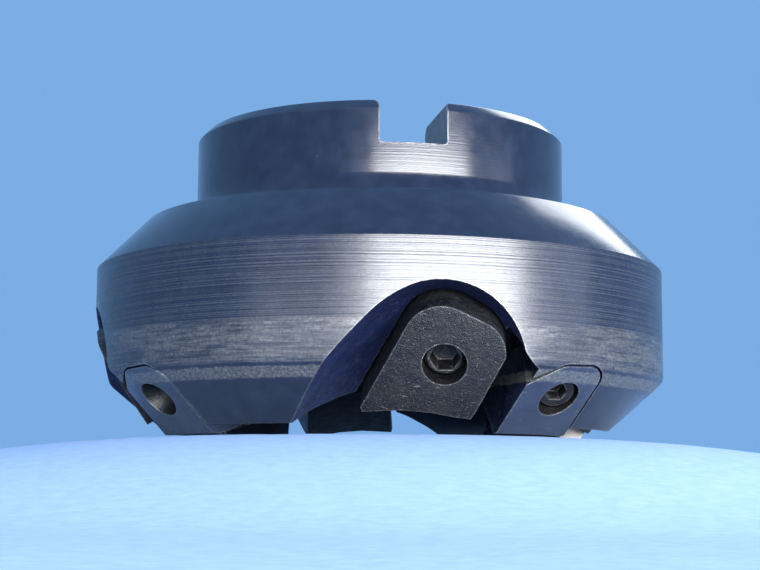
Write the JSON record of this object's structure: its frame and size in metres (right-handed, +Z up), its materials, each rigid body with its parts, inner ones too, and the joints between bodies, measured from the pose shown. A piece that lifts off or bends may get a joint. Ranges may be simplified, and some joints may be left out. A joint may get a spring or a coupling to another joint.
{
  "type": "face mill",
  "caption": "Indexable 45 degree face mill: a turned steel body with a keyed hub, and pockets where clamp wedges hold square inserts against screwed locators.",
  "frame": {"origin": "on the spindle axis, in the plane that the locators' lowest edges touch", "axes": "+Z up the spindle axis towards the hub, drive keyway along Y, cutting edges at the bottom"},
  "size_m": [0.086, 0.086, 0.0466],
  "materials": {
    "blackened_steel": "turned and blackened, rubbed on the rim",
    "wedge_steel": "blackened, coarse",
    "screw_steel": "blackened",
    "locator_steel": "ground and blackened, worn edges",
    "locator_screw_steel": "oiled",
    "carbide": "ground cemented carbide"
  },
  "bodies": {
    "cutter": {"cutter_body": "blackened_steel", "locator_1": "locator_steel", "locator_2": "locator_steel", "locator_3": "locator_steel", "locator_4": "locator_steel", "locator_screw_1": "locator_screw_steel", "locator_screw_2": "locator_screw_steel", "locator_screw_3": "locator_screw_steel", "locator_screw_4": "locator_screw_steel", "carbide_insert": "carbide"},
    "wedge_screw_1": {"wedge_screw_1": "screw_steel"},
    "clamp_wedge_1": {"clamp_wedge_1": "wedge_steel"},
    "wedge_screw_2": {"wedge_screw_2": "screw_steel"},
    "clamp_wedge_2": {"clamp_wedge_2": "wedge_steel"},
    "wedge_screw_3": {"wedge_screw_3": "screw_steel"},
    "clamp_wedge_3": {"clamp_wedge_3": "wedge_steel"},
    "wedge_screw_4": {"wedge_screw_4": "screw_steel"},
    "clamp_wedge_4": {"clamp_wedge_4": "wedge_steel"}
  },
  "joints": [
    {"name": "screw_turn_1", "type": "hinge", "parent": "cutter", "child": "wedge_screw_1", "pos_m": [0.00217, -0.03847, 0.00858], "axis": [-0.1877, -0.8364, -0.515], "range_deg": [-90, 450]},
    {"name": "wedge_slide_1", "type": "slide", "parent": "cutter", "child": "clamp_wedge_1", "axis": [-0.1877, -0.8364, -0.515], "range_m": [-0.0005, 0.0025]},
    {"name": "screw_turn_2", "type": "hinge", "parent": "cutter", "child": "wedge_screw_2", "pos_m": [0.03847, 0.00217, 0.00858], "axis": [0.8364, -0.1877, -0.515], "range_deg": [-90, 450]},
    {"name": "wedge_slide_2", "type": "slide", "parent": "cutter", "child": "clamp_wedge_2", "axis": [0.8364, -0.1877, -0.515], "range_m": [-0.0005, 0.0025]},
    {"name": "screw_turn_3", "type": "hinge", "parent": "cutter", "child": "wedge_screw_3", "pos_m": [-0.00217, 0.03847, 0.00858], "axis": [0.1877, 0.8364, -0.515], "range_deg": [-90, 450]},
    {"name": "wedge_slide_3", "type": "slide", "parent": "cutter", "child": "clamp_wedge_3", "axis": [0.1877, 0.8364, -0.515], "range_m": [-0.0005, 0.0025]},
    {"name": "screw_turn_4", "type": "hinge", "parent": "cutter", "child": "wedge_screw_4", "pos_m": [-0.03847, -0.00217, 0.00858], "axis": [-0.8364, 0.1877, -0.515], "range_deg": [-90, 450]},
    {"name": "wedge_slide_4", "type": "slide", "parent": "cutter", "child": "clamp_wedge_4", "axis": [-0.8364, 0.1877, -0.515], "range_m": [-0.0005, 0.0025]}
  ],
  "couplings": [
    {"joint": "screw_turn_1", "follows": "wedge_slide_1", "rad_per_m": 3141.6},
    {"joint": "screw_turn_2", "follows": "wedge_slide_2", "rad_per_m": 3141.6},
    {"joint": "screw_turn_3", "follows": "wedge_slide_3", "rad_per_m": 3141.6},
    {"joint": "screw_turn_4", "follows": "wedge_slide_4", "rad_per_m": 3141.6}
  ]
}
